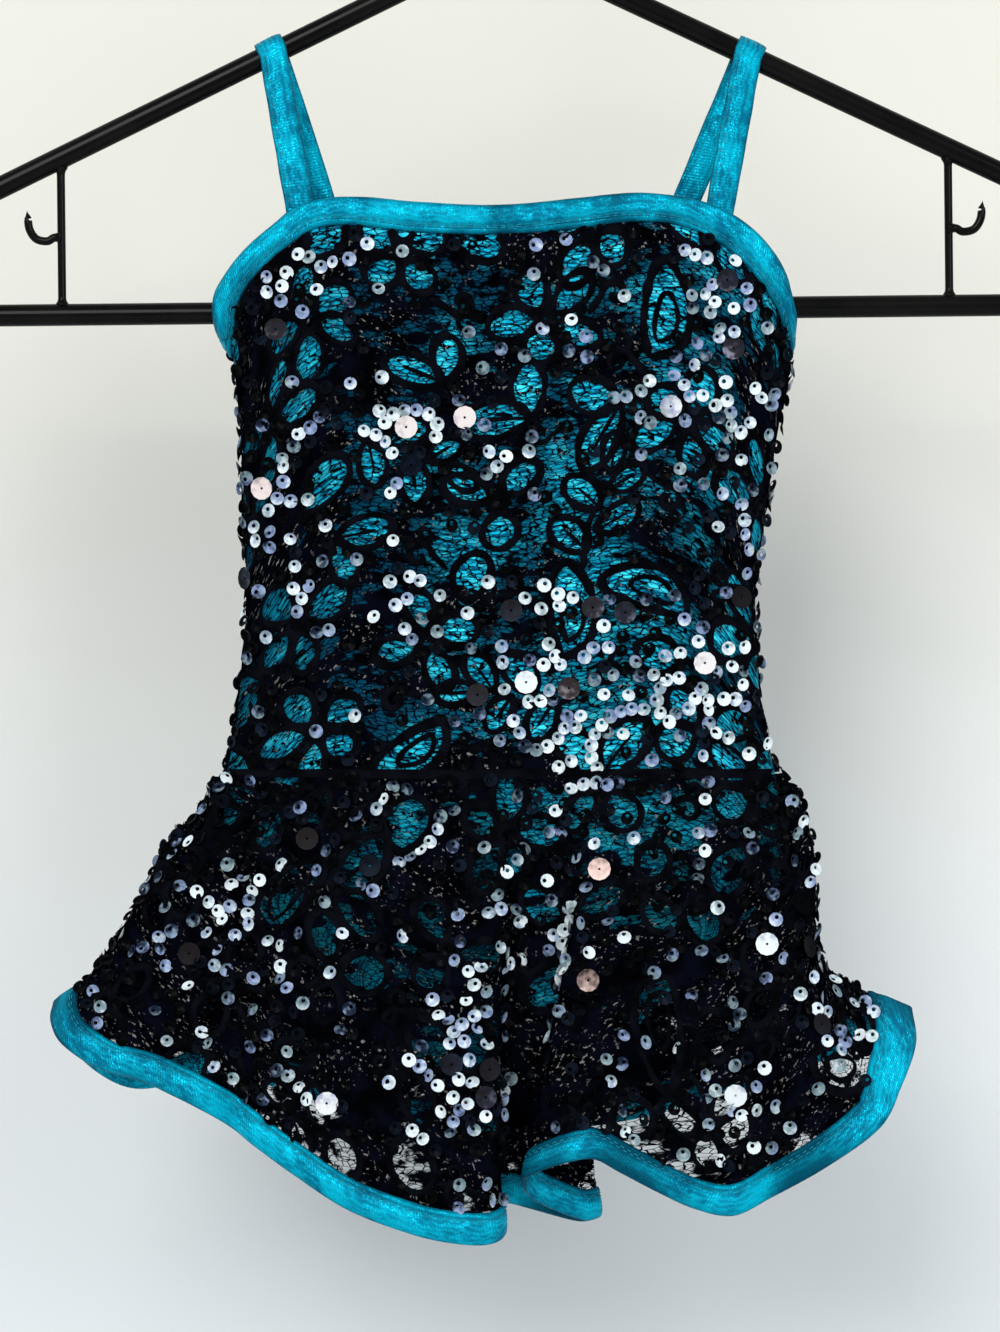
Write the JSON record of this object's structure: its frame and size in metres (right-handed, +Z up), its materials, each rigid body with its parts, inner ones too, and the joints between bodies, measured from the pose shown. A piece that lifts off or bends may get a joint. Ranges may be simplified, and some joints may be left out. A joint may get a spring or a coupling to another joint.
{
  "type": "tutu dance dress on a hanger",
  "caption": "Child's strappy dance dress with a foil leotard base, black sequinned lace overlay and a short flared lace skirt, hanging by its straps from a black metal hanger",
  "frame": {"origin": "inside top of the hanger's hook, where it hangs on a rail or nail", "axes": "+Z up, -Y is the front of the dress, +X is the right of someone who looks at the front"},
  "size_m": [0.4521, 0.057, 0.5432],
  "materials": {
    "foil": "bright turquoise foil jersey, crinkled sheen",
    "binding": "turquoise foil jersey binding, soft mottled sheen, stitched",
    "lace": "black lace of leaf and curl outlines on a fine net, with loose cup sequins",
    "hanger": "black satin-gloss paint on steel tube"
  },
  "bodies": {
    "root": {"leotard_front": "foil", "leotard_back": "foil", "bodice_front": "lace", "bodice_back": "lace", "skirt_front": "lace", "skirt_back": "lace", "top_binding_front": "binding", "top_binding_back": "binding", "hem_binding_front": "binding", "hem_binding_back": "binding", "strap_left": "binding", "strap_right": "binding", "hook": "hanger", "arm_left": "hanger", "arm_right": "hanger", "bend_left": "hanger", "bend_right": "hanger", "bar": "hanger", "drop_rod_left": "hanger", "drop_rod_right": "hanger", "side_hook_left": "hanger", "side_hook_right": "hanger"}
  },
  "joints": []
}
